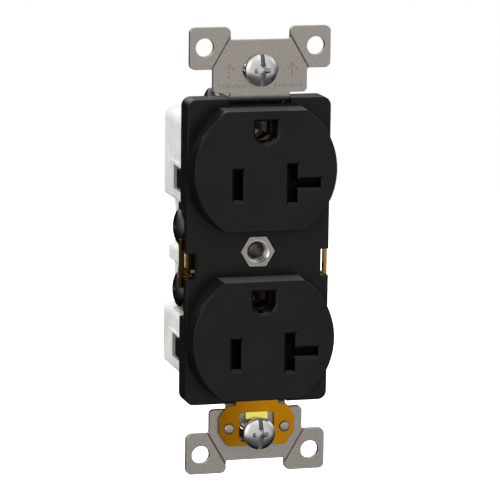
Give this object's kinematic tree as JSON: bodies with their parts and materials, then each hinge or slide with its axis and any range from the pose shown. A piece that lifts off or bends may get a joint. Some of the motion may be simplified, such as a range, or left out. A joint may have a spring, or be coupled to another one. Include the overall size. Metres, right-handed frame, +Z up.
{
  "type": "duplex wall outlet",
  "caption": "Duplex 20 A wall outlet: two T-slot faces with spring shutters on a steel mounting strap, wired by side clamp screws.",
  "frame": {"origin": "centre of the bounding box; X and Z are on the outlet's own middle, Y is half-way between the front of the faces and the back of the rear housing", "axes": "+X to the right of a person facing the outlet, +Y from the faces into the wall, +Z up with the grounding holes uppermost; the strap's front surface lies at Y = -8.31 mm"},
  "size_m": [0.0346, 0.0292, 0.1028],
  "materials": {
    "black_plastic": "satin black moulded thermoplastic",
    "white_plastic": "off-white moulded thermoplastic",
    "dark_plastic": "dark grey acetal",
    "plated_steel": "zinc-plated steel, warm grey, fine grain",
    "bright_steel": "bright nickel-plated steel",
    "dark_steel": "dark plated steel",
    "brass": "rolled brass",
    "amber_brass": "amber passivated spring brass",
    "fibre": "brown vulcanised fibre",
    "bronze": "plated phosphor bronze"
  },
  "bodies": {
    "outlet": {"front_housing": "black_plastic", "rear_housing": "white_plastic", "mounting_strap": "plated_steel", "cover_screw_insert": "plated_steel", "grounding_clip": "amber_brass", "clip_rivet_left": "plated_steel", "clip_rivet_right": "plated_steel", "hot_contact_bus": "brass", "neutral_contact_bus": "brass", "ground_contact_upper": "bronze", "ground_contact_lower": "bronze", "ground_rivet_upper_a": "plated_steel", "ground_rivet_upper_b": "plated_steel", "ground_rivet_lower_a": "plated_steel", "ground_rivet_lower_b": "plated_steel", "shutter_tray_upper": "dark_plastic", "shutter_tray_lower": "dark_plastic", "slider_spring_upper": "bright_steel", "slider_spring_lower": "bright_steel", "arm_spring_upper": "brass", "arm_spring_lower": "brass"},
    "hot_screw_upper": {"hot_terminal_screw_upper": "dark_steel"},
    "hot_clamp_upper": {"hot_clamp_plate_upper": "plated_steel"},
    "hot_screw_lower": {"hot_terminal_screw_lower": "dark_steel"},
    "hot_clamp_lower": {"hot_clamp_plate_lower": "plated_steel"},
    "neutral_screw_upper": {"neutral_terminal_screw_upper": "bright_steel"},
    "neutral_clamp_upper": {"neutral_clamp_plate_upper": "plated_steel"},
    "neutral_screw_lower": {"neutral_terminal_screw_lower": "bright_steel"},
    "neutral_clamp_lower": {"neutral_clamp_plate_lower": "plated_steel"},
    "ground_washer": {"ground_wire_washer": "plated_steel"},
    "ground_screw_body": {"ground_screw": "dark_steel"},
    "retainer_top": {"screw_retainer_top": "fibre"},
    "mounting_top": {"mounting_screw_top": "bright_steel"},
    "retainer_bottom": {"screw_retainer_bottom": "fibre"},
    "mounting_bottom": {"mounting_screw_bottom": "bright_steel"},
    "slider_upper": {"shutter_slider_upper": "dark_plastic"},
    "arm_upper": {"shutter_arm_upper": "dark_plastic"},
    "slider_lower": {"shutter_slider_lower": "dark_plastic"},
    "arm_lower": {"shutter_arm_lower": "dark_plastic"}
  },
  "joints": [
    {"name": "hot_screw_upper_turn", "type": "hinge", "parent": "outlet", "child": "hot_screw_upper", "pos_m": [-0.0152, 0.00219, 0.00435], "axis": [1, 0, 0], "range_deg": [0, 1000]},
    {"name": "hot_clamp_upper_slide", "type": "slide", "parent": "outlet", "child": "hot_clamp_upper", "axis": [-1, 0, 0], "range_m": [0, 0.0022]},
    {"name": "hot_screw_lower_turn", "type": "hinge", "parent": "outlet", "child": "hot_screw_lower", "pos_m": [-0.0152, 0.00219, -0.01015], "axis": [1, 0, 0], "range_deg": [0, 1000]},
    {"name": "hot_clamp_lower_slide", "type": "slide", "parent": "outlet", "child": "hot_clamp_lower", "axis": [-1, 0, 0], "range_m": [0, 0.0022]},
    {"name": "neutral_screw_upper_turn", "type": "hinge", "parent": "outlet", "child": "neutral_screw_upper", "pos_m": [0.0152, 0.00219, 0.00435], "axis": [-1, 0, 0], "range_deg": [0, 1000]},
    {"name": "neutral_clamp_upper_slide", "type": "slide", "parent": "outlet", "child": "neutral_clamp_upper", "axis": [1, 0, 0], "range_m": [0, 0.0022]},
    {"name": "neutral_screw_lower_turn", "type": "hinge", "parent": "outlet", "child": "neutral_screw_lower", "pos_m": [0.0152, 0.00219, -0.01015], "axis": [-1, 0, 0], "range_deg": [0, 1000]},
    {"name": "neutral_clamp_lower_slide", "type": "slide", "parent": "outlet", "child": "neutral_clamp_lower", "axis": [1, 0, 0], "range_m": [0, 0.0022]},
    {"name": "ground_washer_slide", "type": "slide", "parent": "outlet", "child": "ground_washer", "axis": [-1, 0, 0], "range_m": [0, 0.00158]},
    {"name": "ground_screw_turn", "type": "hinge", "parent": "ground_washer", "child": "ground_screw_body", "pos_m": [-0.0084, 0.00229, 0.0322], "axis": [-1, 0, 0], "range_deg": [0, 720]},
    {"name": "mounting_top_slide", "type": "slide", "parent": "outlet", "child": "retainer_top", "axis": [0, -1, 0], "range_m": [0, 0.0083]},
    {"name": "mounting_top_turn", "type": "hinge", "parent": "retainer_top", "child": "mounting_top", "pos_m": [0, -0.00846, 0.04167], "axis": [0, 1, 0], "continuous": true},
    {"name": "mounting_bottom_slide", "type": "slide", "parent": "outlet", "child": "retainer_bottom", "axis": [0, -1, 0], "range_m": [-0.0014, 0.0059]},
    {"name": "mounting_bottom_turn", "type": "hinge", "parent": "retainer_bottom", "child": "mounting_bottom", "pos_m": [0, -0.01081, -0.04167], "axis": [0, 1, 0], "continuous": true},
    {"name": "shutter_slider_upper_slide", "type": "slide", "parent": "outlet", "child": "slider_upper", "axis": [-1, 0, 0], "range_m": [0, 0.0036], "stiffness_N_per_m": 20, "deforming": ["slider_spring_upper"]},
    {"name": "shutter_arm_upper_slide", "type": "slide", "parent": "outlet", "child": "arm_upper", "axis": [0, 0, 1], "range_m": [0, 0.0034], "stiffness_N_per_m": 8, "deforming": ["arm_spring_upper"]},
    {"name": "shutter_slider_lower_slide", "type": "slide", "parent": "outlet", "child": "slider_lower", "axis": [-1, 0, 0], "range_m": [0, 0.0036], "stiffness_N_per_m": 20, "deforming": ["slider_spring_lower"]},
    {"name": "shutter_arm_lower_slide", "type": "slide", "parent": "outlet", "child": "arm_lower", "axis": [0, 0, 1], "range_m": [0, 0.0034], "stiffness_N_per_m": 8, "deforming": ["arm_spring_lower"]}
  ],
  "couplings": [
    {"joint": "hot_screw_upper_turn", "follows": "hot_clamp_upper_slide", "rad_per_m": 7913.3},
    {"joint": "hot_screw_lower_turn", "follows": "hot_clamp_lower_slide", "rad_per_m": 7913.3},
    {"joint": "neutral_screw_upper_turn", "follows": "neutral_clamp_upper_slide", "rad_per_m": 7913.3},
    {"joint": "neutral_screw_lower_turn", "follows": "neutral_clamp_lower_slide", "rad_per_m": 7913.3},
    {"joint": "ground_screw_turn", "follows": "ground_washer_slide", "rad_per_m": 7913.3}
  ]
}
